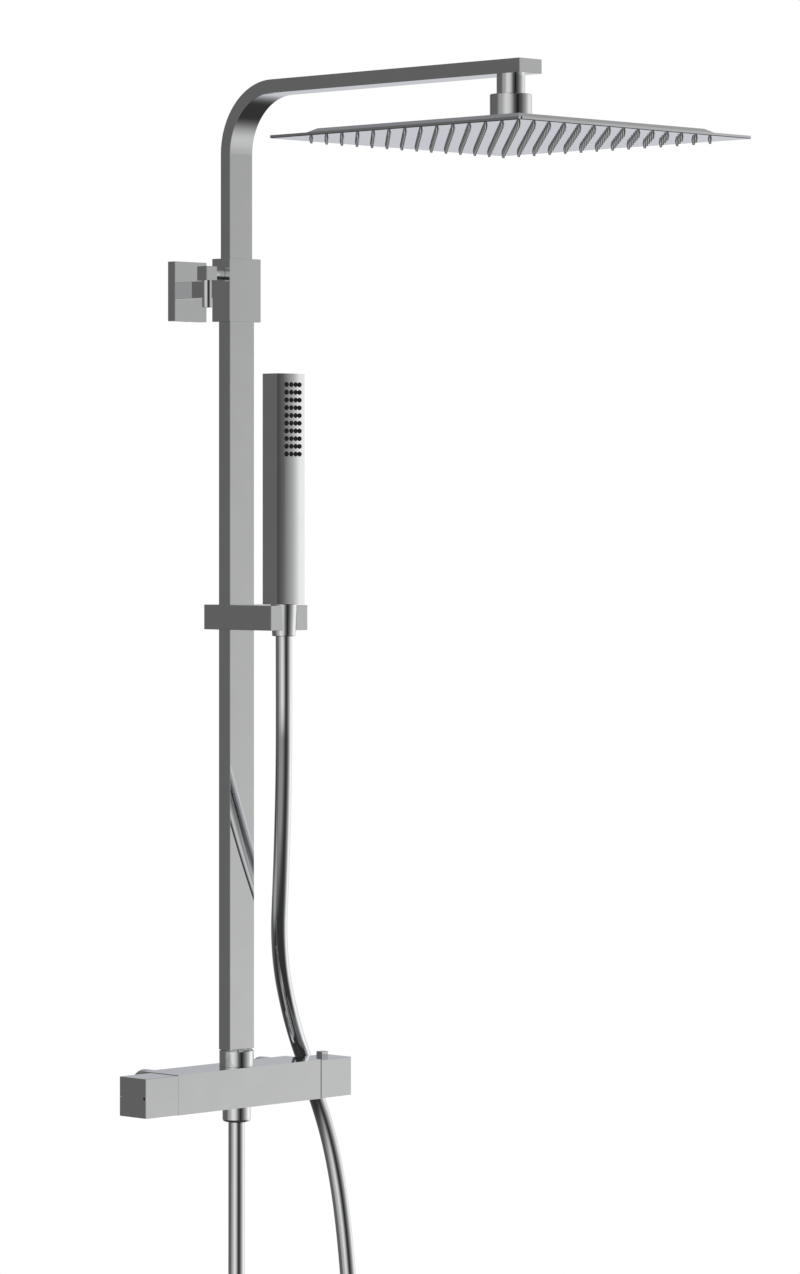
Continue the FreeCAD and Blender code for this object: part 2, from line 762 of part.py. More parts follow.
def wall_bracket():
    sleeve_back = "-riser_axis + sleeve_depth / 2"
    arm = box(
        "bracket_bar",
        ("-bracket_width / 2", sleeve_back, "bracket_level - bracket_height / 2"),
        ("bracket_width / 2", "-plate_depth", "bracket_level + bracket_height / 2"),
    )
    arm = soften("bracket_round", arm, size("edge_round"), lambda edge: edge.BoundBox.YLength > 10)
    bore = rod("bracket_bore", "bolt_radius + 0.1", "60", ("0", sleeve_back + " - 1", "bracket_level"), "Y")
    part("bracket_arm", cut("bracket_arm", arm, [bore]))

    shank_start = "-riser_axis + sleeve_depth / 2 - 3.5"
    head_start = "-plate_depth + plate_wall"
    bolt = join("bracket_bolt", [
        rod("bolt_shank", "bolt_radius", f"{head_start} - ({shank_start}) + 1",
            ("0", shank_start, "bracket_level"), "Y"),
        rod("bolt_head", "5", "3.4", ("0", head_start, "bracket_level"), "Y"),
    ])
    part("bracket_bolt", bolt)

    middle = "plate_bottom + plate_height / 2"
    plate = box(
        "plate_block",
        ("-plate_width / 2", "-plate_depth", "plate_bottom"),
        ("plate_width / 2", "0", "plate_bottom + plate_height"),
    )
    plate = soften("plate_round", plate, size("edge_round"), lambda edge: edge.BoundBox.YMax < -9)
    pocket = box(
        "plate_pocket",
        ("-plate_width / 2 + plate_wall", "-plate_depth + plate_wall", "plate_bottom + plate_wall"),
        ("plate_width / 2 - plate_wall", "1", "plate_bottom + plate_height - plate_wall"),
    )
    hole = rod("plate_hole", "bolt_radius + 0.1", "12", ("0", "-plate_depth - 1", "bracket_level"), "Y")
    grub_hole = rod("plate_grub_hole", "screw_radius + 0.1", "4",
                    ("0", "-fixing_depth / 2", "plate_bottom - 1"))
    part("wall_plate", cut("wall_plate", plate, [pocket, hole, grub_hole]))

    block = box(
        "fixing_block",
        ("-plate_width / 2 + plate_wall + 0.2", "-fixing_depth", "plate_bottom + plate_wall + 0.2"),
        ("plate_width / 2 - plate_wall - 0.2", "0", "plate_bottom + plate_height - plate_wall - 0.2"),
    )
    tools = [
        rod("head_clearance", "6.5", "12", ("0", "-fixing_depth - 1", "bracket_level"), "Y"),
        rod("fixing_grub_hole", "screw_radius + 0.1", "9", ("0", "-fixing_depth / 2", "plate_bottom + 1")),
    ]
    for k, side in enumerate((-1, 1)):
        tools.append(rod(
            f"fixing_hole_{k}", "fixing_screw_radius", "12",
            ("0", "-fixing_depth - 1", f"{middle} + {side} * fixing_screw_spacing / 2"), "Y",
        ))
    part("wall_fixing", cut("wall_fixing", block, tools))
    part("plate_grub_screw", rod("plate_grub_screw", "screw_radius", "grub_length",
                                 ("0", "-fixing_depth / 2", "plate_bottom + grub_recess")))


def clamp_lever():
    face = "-sleeve_width / 2"
    collar = f"{face} - lever_stem_length"
    stem = [
        ("0", "0"), ("lever_stem_radius", "0"), ("lever_stem_radius", "lever_stem_length - 0.3"),
        ("clamp_thread_radius", "lever_stem_length - 0.3"),
        ("clamp_thread_radius", "lever_stem_length + 3.4"), ("0", "lever_stem_length + 3.4"),
    ]
    start = (collar, "-riser_axis", "lever_level")
    part("clamp_stem", turned("clamp_stem", stem, start, "X"))
    tip_start = f"{face} + 3.4"
    tip_length = f"-upper_width / 2 - 0.3 - ({tip_start})"
    part("clamp_tip", rod("clamp_tip", "3.2", tip_length, (tip_start, "-riser_axis", "lever_level"), "X"))
    half = "lever_cube / 2"
    cube = box(
        "lever_block",
        (f"{collar} - lever_cube", f"-riser_axis - {half}", f"lever_level - {half}"),
        (collar, f"-riser_axis + {half}", f"lever_level + {half}"),
    )
    cube = soften("lever_round", cube, 0.4, lambda edge: True)
    handle = rod(
        "lever_handle", "lever_rod_radius", "lever_rod_length + 1",
        (f"{collar} - {half}", "-riser_axis", f"lever_level - {half} - lever_rod_length"),
    )
    handle = soften("lever_end", handle, 0.4, lambda edge: edge.BoundBox.ZMax < 719.5)
    part("clamp_lever", join("clamp_lever", [cube, handle]))


# ---------------------------------------------------------------- upper tube and arm
def bent_bar(name, width, depth, bottom, end):
    """Vertical bar, quarter bend and horizontal arm, all of one rectangular section."""
    bend_level = "arm_level - bend_radius"
    bend_y = "-riser_axis - bend_radius"
    upright = centred_box(name + "_upright", width, depth, bottom, bend_level)
    outer = rod(name + "_outer", f"bend_radius + ({depth}) / 2", width,
                (f"-({width}) / 2", bend_y, bend_level), "X")
    inner = rod(name + "_inner", f"bend_radius - ({depth}) / 2", f"({width}) + 2",
                (f"-({width}) / 2 - 1", bend_y, bend_level), "X")
    corner_block = box(
        name + "_corner_block",
        (f"-({width}) / 2 - 1", bend_y, bend_level),
        (f"({width}) / 2 + 1", f"{bend_y} + 2 * bend_radius", f"{bend_level} + 2 * bend_radius"),
    )
    corner = common(name + "_corner", cut(name + "_bend", outer, [inner]), corner_block)
    arm = box(
        name + "_arm",
        (f"-({width}) / 2", end, f"arm_level - ({depth}) / 2"),
        (f"({width}) / 2", bend_y, f"arm_level + ({depth}) / 2"),
    )
    return join(name + "_bar", [upright, corner, arm])


def upper_tube():
    inside_width = "upper_width - 2 * upper_wall"
    inside_depth = "upper_depth - 2 * upper_wall"
    skin = bent_bar("skin", "upper_width", "upper_depth", "upper_bottom", "-arm_reach + end_cap")
    core = bent_bar("core", inside_width, inside_depth, "upper_bottom - 1", "-arm_reach")
    corner = size("upper_width / 2") - 0.01
    skin = soften(
        "skin_round", skin, size("edge_round"),
        lambda edge: abs(edge.CenterOfMass.x) > corner and 20 < edge.Length,
    )
    drop = rod("arm_outlet", "ball_stem_radius + 0.05", "4",
               ("0", "-head_reach", "arm_level - upper_depth / 2 - 1"))
    part("upper_tube", cut("upper_tube", skin, [core, drop]))
    cap = box(
        "cap_block",
        ("-upper_width / 2", "-arm_reach", "arm_level - upper_depth / 2"),
        ("upper_width / 2", "-arm_reach + end_cap", "arm_level + upper_depth / 2"),
    )
    part("arm_end_cap", soften("arm_end_cap", cap, 0.3, lambda edge: edge.BoundBox.YMax < -440))

    block = join("piston_solid", [
        centred_box("piston_low", "upper_width - 0.3", "upper_depth - 0.3", "upper_bottom - 14",
                    "upper_bottom - 10"),
        centred_box("piston_waist", "upper_width - 2.6", "upper_depth - 2.6", "upper_bottom - 10",
                    "upper_bottom - 6"),
        centred_box("piston_high", "upper_width - 0.3", "upper_depth - 0.3", "upper_bottom - 6",
                    "upper_bottom"),
        centred_box("piston_spigot", f"{inside_width} - 0.2", f"{inside_depth} - 0.2", "upper_bottom",
                    "upper_bottom + 12"),
    ])
    bore = rod("piston_bore", "3.5", "30", ("0", "-riser_axis", "upper_bottom - 15"))
    part("telescope_piston", cut("telescope_piston", block, [bore]))
    outer = centred_box("seal_outer", "upper_width", "upper_depth + 0.2", "upper_bottom - 9.9",
                        "upper_bottom - 6.1")
    inner = centred_box("seal_inner", "upper_width - 2.4", "upper_depth - 2.4", "upper_bottom - 12",
                        "upper_bottom - 5")
    part("telescope_seal", cut("telescope_seal", outer, [inner]))


# ---------------------------------------------------------------- rain head
def ball_joint():
    underside = "arm_level - upper_depth / 2"
    neck = [
        ("ball_stem_radius + 0.05", "0"), ("neck_radius", "0"),
        ("neck_radius", f"{underside} - swivel_top - 0.3"),
        ("ball_stem_radius + 0.05", f"{underside} - swivel_top - 0.3"),
    ]
    part("arm_neck", turned("arm_neck", neck, ("0", "-head_reach", "swivel_top + 0.3")))
    stem = join("stem_solid", [
        ball("stem_ball", "ball_radius", ("0", "-head_reach", "ball_level")),
        rod("stem_shank", "ball_stem_radius", f"{underside} + 3 - ball_level",
            ("0", "-head_reach", "ball_level")),
    ])
    bore = rod("stem_bore", "ball_bore", "60", ("0", "-head_reach", "ball_level - 15"))
    part("ball_stem", cut("ball_stem", stem, [bore]))

    dish_depth = "3.5"
    nut = [
        ("7.6", "swivel_height - 6.3"), ("7.6", f"swivel_height - {dish_depth}"),
        ("swivel_radius - 3.0", f"swivel_height - {dish_depth}"),
        ("swivel_radius - 1.2", "swivel_height"), ("swivel_radius - 0.4", "swivel_height"),
        ("swivel_radius", "swivel_height - 0.4"), ("swivel_radius", "0"), ("14.1", "0"),
        ("14.1", "ball_level - swivel_top + swivel_height"),
        ("7.6", "ball_level - swivel_top + swivel_height"),
    ]
    blank = turned("nut_blank", nut, ("0", "-head_reach", "swivel_top - swivel_height"))
    hollow = ball("nut_hollow", "ball_radius + 1.8", ("0", "-head_reach", "ball_level"))
    part("swivel_nut", cut("swivel_nut", blank, [hollow]))

    for label, low, high in (("ball_seal", 1.5, 5.5), ("ball_seat", -6.5, -1.5)):
        outer = ball(label + "_outer", "ball_radius + 1.6", ("0", "-head_reach", "ball_level"))
        inner = ball(label + "_inner", "ball_radius + 0.05", ("0", "-head_reach", "ball_level"))
        slab = box(
            label + "_slab",
            ("-20", "-head_reach - 20", f"ball_level + {low}"),
            ("20", "-head_reach + 20", f"ball_level + {high}"),
        )
        part(label, common(label, cut(label + "_shell", outer, [inner]), slab))


def head_cover():
    rim_bottom = "head_bottom + face_thickness"
    rim_top = "head_bottom + face_thickness + rim_thickness"
    rim = box(
        "rim",
        ("-head_size / 2", "-head_reach - head_size / 2", rim_bottom),
        ("head_size / 2", "-head_reach + head_size / 2", rim_top),
    )
    rim = soften("rim_round", rim, size("head_corner"), lambda edge: edge.Length < 2)
    chamber = frustum("chamber", "chamber_foot", "chamber_top", "chamber_height",
                      ("0", "-head_reach", rim_top))
    room = frustum("chamber_room", "chamber_foot - 4", "chamber_top - 4",
                   "rim_thickness + chamber_height - cover_wall", ("0", "-head_reach", rim_bottom))
    drop = rod("cover_hole", "5", "10", ("0", "-head_reach", f"{rim_top} + 2"))
    part("head_cover", cut("head_cover", join("cover_solid", [rim, chamber]), [room, drop]))

    top = f"{rim_top} + chamber_height"
    socket = [
        ("5", "0"), ("15.5", "0"), ("15.5", "2.2"), ("14", "2.2"),
        ("14", f"ball_level - 2 - ({top})"), ("5", f"ball_level - 2 - ({top})"),
    ]
    blank = turned("socket_blank", socket, ("0", "-head_reach", top))
    cup = ball("socket_cup", "ball_radius + 1.7", ("0", "-head_reach", "ball_level"))
    part("head_socket", cut("head_socket", blank, [cup]))


def nozzle_grid(name, radius_top, radius_bottom, length, bottom):
    """One cone per nozzle, in a square grid about the head's centre."""
    cones = []
    count = DIMENSIONS["nozzle_count"]
    for i in range(count):
        for k in range(count):
            x = f"({i} - (nozzle_count - 1) / 2) * nozzle_pitch"
            y = f"-head_reach + ({k} - (nozzle_count - 1) / 2) * nozzle_pitch"
            cones.append(cone(f"{name}_{i}_{k}", radius_bottom, radius_top, length, (x, y, bottom)))
    return group(name, cones)


def head_face():
    plate = box(
        "face_block",
        ("-head_size / 2", "-head_reach - head_size / 2", "head_bottom"),
        ("head_size / 2", "-head_reach + head_size / 2", "head_bottom + face_thickness"),
    )
    plate = soften("face_corners", plate, size("head_corner"), lambda edge: edge.Length < 2)
    underside = size("head_bottom") + 0.1
    plate = soften(
        "face_edge", plate, size("head_bevel"),
        lambda edge: edge.BoundBox.ZMax < underside, "Part::Chamfer",
    )
    hole = "nozzle_root + nozzle_hole_fit"
    holes = nozzle_grid("face_holes", hole, hole + " + 0.001", "face_thickness + 2", "head_bottom - 1")
    obj = doc.addObject("Part::Cut", "head_face")
    obj.Base = plate
    obj.Tool = holes
    part("head_face", obj)


def nozzle_plate():
    backing = box(
        "nozzle_backing",
        ("-chamber_foot / 2 + plate_inset", "-head_reach - chamber_foot / 2 + plate_inset",
         "head_bottom + face_thickness"),
        ("chamber_foot / 2 - plate_inset", "-head_reach + chamber_foot / 2 - plate_inset",
         "head_bottom + face_thickness + nozzle_backing"),
    )
    cones = nozzle_grid(
        "nozzle_cones", "nozzle_root", "nozzle_tip",
        "nozzle_length + face_thickness + nozzle_backing / 2", "head_bottom - nozzle_length",
    )
    part("nozzle_plate", join("nozzle_plate", [backing, cones]))


# ---------------------------------------------------------------- holder and handset
def holder():
    top = "holder_bottom + holder_height"
    block = box(
        "holder_block",
        ("-holder_width / 2", "-holder_front", "holder_bottom"),
        ("holder_width / 2", "-holder_back", top),
    )
    block = soften("holder_round", block, size("edge_round"), lambda edge: True)
    taper = "(cone_big - cone_small) / cone_length"
    bore_low = f"cone_small + cone_fit + (holder_bottom - 1 - cone_bottom) * {taper}"
    bore_high = f"cone_small + cone_fit + (holder_bottom + holder_height + 1 - cone_bottom) * {taper}"
    tools = [
        centred_box("holder_window", "riser_width + 2 * holder_fit", "riser_depth + 2 * holder_fit",
                    "holder_bottom - 1", f"{top} + 1"),
        cone("cone_seat", bore_low, bore_high, "holder_height + 2",
             ("0", "-cone_axis", "holder_bottom - 1")),
        box("pad_pocket",
            ("-8.2", "-riser_axis + riser_depth / 2", "holder_bottom + 2.4"),
            ("8.2", "-holder_back - 2.3", f"{top} - 2.4")),
    ]
    part("holder_body", cut("holder_body", block, tools))
    pad_front = "-riser_axis + riser_depth / 2 + 0.3"
    part("holder_pad", box(
        "holder_pad",
        ("-8", pad_front, "holder_bottom + 2.6"),
        ("8", f"{pad_front} + 5.5", f"{top} - 2.6"),
    ))
    outer = rod("pad_spring_disc", "6", f"-holder_back - 2.4 - ({pad_front} + 5.6)",
                ("0", f"{pad_front} + 5.6", "holder_bottom + holder_height / 2"), "Y")
    inner = rod("pad_spring_hole", "3.5", "12",
                ("0", f"{pad_front} + 4", "holder_bottom + holder_height / 2"), "Y")
    part("holder_pad_spring", cut("holder_pad_spring", outer, [inner]))


def handset():
    half = "handset_width / 2"
    top = "handset_bottom + handset_height"
    shell = box("handset_block", (f"-{half}", "-handset_seam", "handset_bottom"),
                (half, "-handset_back", top))
    shell = soften("handset_round", shell, 1.2, lambda edge: edge.BoundBox.YMin > -123)
    room = box(
        "handset_room",
        (f"-{half} + handset_wall", "-handset_seam - 1", "handset_bottom + 2.7"),
        (f"{half} - handset_wall", "-handset_back - handset_wall", f"{top} - handset_wall"),
    )
    hole = rod("spigot_hole", "spigot_neck + 0.05", "6", ("0", "-cone_axis", "handset_bottom - 1"))
    part("handset_body", cut("handset_body", shell, [room, hole]))

    radius = "((handset_width / 2) ^ 2 + handset_bulge ^ 2) / (2 * handset_bulge)"
    front = box("face_slab", (f"-{half}", "-handset_edge - handset_bulge - 1", "handset_bottom"),
                (half, "-handset_seam", top))
    round_front = rod("face_round", radius, "handset_height",
                      ("0", f"-handset_edge - handset_bulge + {radius}", "handset_bottom"))
    face = common("face_solid", front, round_front)
    bottom = size("handset_bottom") + 0.1
    seam = -size("handset_edge") + 0.1
    face = soften(
        "face_lower_edge", face, size("face_lower_round"),
        lambda edge: edge.BoundBox.ZMax < bottom and edge.BoundBox.YMax < seam,
    )
    tips = ("spray_tip_outer", "spray_tip_inner", "spray_tip_inner", "spray_tip_outer")
    holes = []
    nubs = []
    for row in range(DIMENSIONS["spray_rows"]):
        for column, tip in enumerate(tips):
            x = f"({column} - 1.5) * spray_column_pitch"
            z = f"spray_top - {row} * spray_row_pitch"
            holes.append(rod(f"spray_hole_{row}_{column}", "spray_radius + 0.15", "12",
                             (x, "-handset_seam - 8", z), "Y"))
            nubs.append(cone(f"spray_nub_{row}_{column}", "spray_radius - spray_taper", "spray_radius",
                             f"{tip} - handset_seam + 0.2", (x, f"-{tip}", z), "Y"))
    obj = doc.addObject("Part::Cut", "handset_face")
    obj.Base = face
    obj.Tool = group("spray_holes", holes)
    part("handset_face", obj)
    low = "spray_top - (spray_rows - 1) * spray_row_pitch - 5"
    mat = box("spray_sheet", ("-13", "-handset_seam", low), ("13", "-handset_seam + 1.2", "spray_top + 5"))
    part("handset_nozzles", join("handset_nozzles", [mat, group("spray_nubs", nubs)]))

    thread_start = "cone_bottom + 17.1"
    thread_top = f"handset_bottom - 0.1 - ({thread_start})"
    neck_top = f"{thread_top} + 2.9"
    spigot = [
        ("4.5", "0"), ("spigot_radius", "0"), ("spigot_radius", thread_top),
        ("spigot_neck", thread_top), ("spigot_neck", neck_top), ("spigot_neck + 1.2", neck_top),
        ("spigot_neck + 1.2", f"{neck_top} + 2"), ("4.5", f"{neck_top} + 2"),
    ]
    part("handset_spigot", turned("handset_spigot", spigot, ("0", "-cone_axis", thread_start)))


def cone_nut():
    hole = "hose_radius + hose_bore_fit"
    thread = "spigot_radius + 0.1"
    nut = [
        (hole, "0"), ("cone_small - 0.5", "0"), ("cone_small", "0.5"), ("cone_big", "cone_length"),
        (thread, "cone_length"), (thread, "14.9"), (hole, "14.9"),
    ]
    part("hose_cone_nut", turned("hose_cone_nut", nut, ("0", "-cone_axis", "cone_bottom")))
    outer = rod("cone_washer", "spigot_radius - 0.1", "2", ("0", "-cone_axis", "cone_bottom + 15"))
    inner = rod("cone_washer_hole", "5.5", "4", ("0", "-cone_axis", "cone_bottom + 14"))
    part("hose_cone_washer", cut("hose_cone_washer", outer, [inner]))


# ---------------------------------------------------------------- hose
HOSE_ROUTE = [
    (0, -70.85, -29.4),
    (0, -70.85, -140),
    (-1, -71.5, -300),
    (0.5, -70.3, -426),
    (52, -66, -479),
    (126, -61, -477.5),
    (177, -56, -427),
    (176, -51, -300),
    (169.5, -46, -165),
    (160.5, -36.5, -75),
    (135.5, -32.5, -8),
    (93, -48, 52),
    (47.5, -77, 122),
    (30.5, -99, 200),
    (15, -118, 288),
    (0.5, -133, 362),
    (0, -133.2, 431.7),
]


def rounded_path(points):
    """Straight runs joined by tangent arcs, each arc as large as its two runs allow."""
    edges = []
    here = points[0]
    for before, corner, after in zip(points, points[1:], points[2:]):
        back = before - corner
        ahead = after - corner
        turn = math.pi - back.getAngle(ahead)
        reach = 0.45 * min(back.Length, ahead.Length)
        radius = reach / math.tan(turn / 2)
        print(f"hose arc radius {radius:.1f} mm, turn {math.degrees(turn):.1f} degrees")
        start = corner + back.normalize() * reach
        end = corner + ahead.normalize() * reach
        bisector = (back + ahead).normalize()
        middle = corner + bisector * (radius / math.cos(turn / 2) - radius)
        edges.append(Part.LineSegment(here, start).toShape())
        edges.append(Part.Arc(start, middle, end).toShape())
        here = end
    edges.append(Part.LineSegment(here, points[-1]).toShape())
    return Part.Wire(edges)


def hose():
    path = rounded_path([Vector(*point) for point in HOSE_ROUTE])
    radius = float(sheet.get("hose_radius"))
    direction = path.Edges[0].tangentAt(path.Edges[0].FirstParameter)
    section = Part.Wire(Part.Circle(Vector(*HOSE_ROUTE[0]), direction, radius).toShape())
    tube = path.makePipeShell([section], True, True)
    expected = math.pi * radius ** 2 * path.Length
    print(f"hose length {path.Length:.1f} mm, volume {tube.Volume:.0f} against {expected:.0f}")
    obj = doc.addObject("Part::Feature", "shower_hose")
    obj.Shape = tube
    obj.Placement = Placement()
    part("shower_hose", obj)


# ---------------------------------------------------------------- assembly
valve_body()
cartridges()
stop_ring()
spindles()
knobs()
button()
inlets()
riser_union()
outlet_union()
lower_riser()
sleeve()
wall_bracket()
clamp_lever()
upper_tube()
ball_joint()
head_cover()
head_face()
nozzle_plate()
holder()
handset()
cone_nut()
hose()
doc.recompute()

for obj in doc.Objects:
    if any(state in ("Invalid", "Error") for state in obj.State):
        raise RuntimeError(f"{obj.Name} ({obj.Label}) failed: {obj.State}")
os.makedirs("parts", exist_ok=True)
for obj in parts:
    shape = obj.Shape
    if shape.isNull() or not shape.isValid():
        raise RuntimeError(f"{obj.Label} has no valid shape")
    if obj.Label != re.sub(r"\d+$", "", obj.Label) or not shape.Solids:
        raise RuntimeError(f"{obj.Label} has a repeated label or no solid")
    shape.exportStep(f"parts/{obj.Label}.step")
    print(f"{obj.Label}: {len(shape.Solids)} solid(s), {shape.Volume:.0f} mm3")
print(f"{len(parts)} nodes")
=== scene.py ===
"""Looks of the rainfall shower column: polished chrome in a soft studio.

Metres, in the part's own frame: +Z up, the wall is the plane y = 0, the room lies towards -Y.
"""
import json
import math
import bmesh
import bpy
from mathutils import Matrix, Vector


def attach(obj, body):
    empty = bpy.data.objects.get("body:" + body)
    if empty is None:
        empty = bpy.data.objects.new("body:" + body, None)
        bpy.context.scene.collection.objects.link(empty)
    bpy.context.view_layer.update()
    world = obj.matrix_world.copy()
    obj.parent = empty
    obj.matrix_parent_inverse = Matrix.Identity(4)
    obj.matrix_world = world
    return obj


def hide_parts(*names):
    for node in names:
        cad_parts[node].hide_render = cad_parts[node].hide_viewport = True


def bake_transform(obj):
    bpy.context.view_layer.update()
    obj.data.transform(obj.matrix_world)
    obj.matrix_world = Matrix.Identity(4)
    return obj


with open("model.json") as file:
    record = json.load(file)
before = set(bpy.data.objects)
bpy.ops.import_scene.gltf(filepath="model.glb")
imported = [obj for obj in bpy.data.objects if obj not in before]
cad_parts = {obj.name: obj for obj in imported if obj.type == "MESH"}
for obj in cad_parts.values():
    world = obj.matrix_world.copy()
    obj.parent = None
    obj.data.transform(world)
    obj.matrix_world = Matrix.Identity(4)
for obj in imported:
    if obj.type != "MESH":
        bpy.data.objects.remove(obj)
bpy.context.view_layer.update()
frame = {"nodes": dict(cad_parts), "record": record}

# ---------------------------------------------------------------- camera
CAMERA_PLACE = (-3.1887, -3.3703, 0.5252)
CAMERA_TURN = 45.912          # degrees from +Y towards +X
CAMERA_LENS = 140.0           # mm
CAMERA_SHIFT = -0.0933

camera_data = bpy.data.cameras.new("camera")
camera_data.lens = CAMERA_LENS
camera_data.sensor_width = 36.0
camera_data.shift_y = CAMERA_SHIFT
camera_data.clip_end = 50.0
camera = bpy.data.objects.new("camera", camera_data)
camera.location = CAMERA_PLACE
camera.rotation_euler = (math.radians(90), 0, -math.radians(CAMERA_TURN))
bpy.context.collection.objects.link(camera)
scene = bpy.context.scene
scene.camera = camera
scene.view_settings.view_transform = "Standard"


# ---------------------------------------------------------------- node helpers
def linear(grey):
    """Scene brightness of a display grey from 0 to 255."""
    share = grey / 255
    return share / 12.92 if share <= 0.04045 else ((share + 0.055) / 1.055) ** 2.4


def add_node(tree, kind, **settings):
    node = tree.nodes.new(kind)
    for name, value in settings.items():
        setattr(node, name, value)
    return node


def math_node(tree, operation, *inputs):
    node = add_node(tree, "ShaderNodeMath", operation=operation)
    for socket, value in zip(node.inputs, inputs):
        if isinstance(value, (int, float)):
            socket.default_value = value
        else:
            tree.links.new(value, socket)
    return node.outputs[0]


def map_range(tree, value, low, high, out_low=0.0, out_high=1.0, smooth=False):
    node = add_node(tree, "ShaderNodeMapRange")
    node.interpolation_type = "SMOOTHSTEP" if smooth else "LINEAR"
    tree.links.new(value, node.inputs["Value"])
    for name, number in (("From Min", low), ("From Max", high), ("To Min", out_low), ("To Max", out_high)):
        node.inputs[name].default_value = number
    return node.outputs["Result"]


def mix_colours(tree, factor, first, second):
    node = add_node(tree, "ShaderNodeMix", data_type="RGBA")
    tree.links.new(factor, node.inputs["Factor"])
    for socket, value in ((node.inputs["A"], first), (node.inputs["B"], second)):
        if isinstance(value, (tuple, list)):
            socket.default_value = (*value, 1.0)
        else:
            tree.links.new(value, socket)
    return node.outputs["Result"]


# ---------------------------------------------------------------- studio
CHROME_TINT = (0.79, 0.795, 0.80)
WHITE = (1.0, 1.0, 1.0)
# The studio's wall at eye level, as stops between which it fades: degrees round from the front towards
# +X, then how light chrome looks, from 0 to 255, where it shows the wall's upper part and its lower part.
STUDIO_WALL = [
    (-180, 95, 95),     # dark screen at the back left
    (-128, 95, 95),
    (-113, 152, 156),   # dim wall on the left
    (-98, 156, 165),
    (-74, 208, 220),    # left softbox
    (-60, 202, 211),
    (-48, 178, 188),
    (-29, 86, 94),
    (-10, 16, 28),      # black flag beside the camera
    (-4, 50, 52),
    (14, 85, 106),      # grey screen in front
    (44, 160, 187),
    (66, 218, 246),     # right softbox
    (84, 226, 246),
    (110, 195, 210),
    (142, 164, 186),    # pale wall at the back right
    (156, 140, 160),
    (168, 95, 97),
    (180, 95, 95),
]
# The wall's lower part turns into its upper part between these two degrees above eye level.
WALL_BLEND = (-7.0, 5.0)
CEILING_GREY = 104
SOFTBOX_GREY = 165
GROUND_GREY = 50
# What lies above and below the wall: where it starts and is complete, in degrees, and its grey.
STUDIO_CAPS = [
    (10.0, 50.0, CEILING_GREY),
    (62.0, 74.0, SOFTBOX_GREY),
    (-14.0, -44.0, GROUND_GREY),
]
# The wall behind the object on its right is faintly lavender.
LAVENDER = (0.965, 0.975, 1.04)
LAVENDER_BACK = (0.35, 0.6)
LAVENDER_RIGHT = (0.2, 0.5)


def chrome_light(grey):
    """The light that chrome has to reflect to look as bright as the grey."""
    return linear(grey) / CHROME_TINT[1]


def studio_ramp(tree, turn, column):
    """The wall's light all the way round; column 1 is its upper part and 2 its lower part."""
    ramp = add_node(tree, "ShaderNodeValToRGB")
    ramp.color_ramp.interpolation = "LINEAR"
    stops = ramp.color_ramp.elements
    while len(stops) < len(STUDIO_WALL):
        stops.new(0.5)
    for stop, wall in zip(stops, STUDIO_WALL):
        stop.position = wall[0] / 360 + 0.5
    for stop, wall in zip(stops, STUDIO_WALL):
        light = chrome_light(wall[column])
        stop.color = (light, light, light, 1)
    tree.links.new(turn, ramp.inputs["Fac"])
    return ramp.outputs["Color"]


def build_world():
    """Plain white for the camera; everything else sees the studio's wall, ceiling and ground."""
    world = bpy.data.worlds.new("studio")
    scene.world = world
    world.use_nodes = True
    tree = world.node_tree
    tree.nodes.clear()
    direction = add_node(tree, "ShaderNodeTexCoord").outputs["Generated"]
    split = add_node(tree, "ShaderNodeSeparateXYZ")
    tree.links.new(direction, split.inputs[0])
    x, y, z = split.outputs
    front = math_node(tree, "MULTIPLY", y, -1.0)
    angle = math_node(tree, "ARCTAN2", x, front)
    turn = math_node(tree, "MULTIPLY_ADD", angle, 1 / (2 * math.pi), 0.5)
    height = math_node(tree, "MULTIPLY", math_node(tree, "ARCSINE", z), 180 / math.pi)
    upper = studio_ramp(tree, turn, 1)
    lower = studio_ramp(tree, turn, 2)
    room = mix_colours(tree, map_range(tree, height, *WALL_BLEND), lower, upper)
    for start, end, grey in STUDIO_CAPS:
        share = map_range(tree, height, start, end, smooth=True)
        room = mix_colours(tree, share, room, (chrome_light(grey),) * 3)
    back = map_range(tree, y, *LAVENDER_BACK, smooth=True)
    right = map_range(tree, x, *LAVENDER_RIGHT)
    tint = mix_colours(tree, math_node(tree, "MULTIPLY", back, right), WHITE, LAVENDER)
    tinted = add_node(tree, "ShaderNodeMix", data_type="RGBA", blend_type="MULTIPLY")
    tinted.inputs["Factor"].default_value = 1.0
    tree.links.new(room, tinted.inputs["A"])
    tree.links.new(tint, tinted.inputs["B"])
    seen = add_node(tree, "ShaderNodeBackground")
    seen.inputs["Color"].default_value = (*WHITE, 1)
    reflected = add_node(tree, "ShaderNodeBackground")
    tree.links.new(tinted.outputs["Result"], reflected.inputs["Color"])
    choice = add_node(tree, "ShaderNodeMixShader")
    tree.links.new(add_node(tree, "ShaderNodeLightPath").outputs["Is Camera Ray"], choice.inputs[0])
    tree.links.new(reflected.outputs[0], choice.inputs[1])
    tree.links.new(seen.outputs[0], choice.inputs[2])
    output = add_node(tree, "ShaderNodeOutputWorld")
    tree.links.new(choice.outputs[0], output.inputs["Surface"])


FLOOR_LEVEL = -1.0
FLOOR_RADIUS = 2.4
FLOOR_PLAIN_SHARE = 0.35      # the part of the radius inside which the floor doesn't fade
FLOOR_CENTRE_Y = -0.25


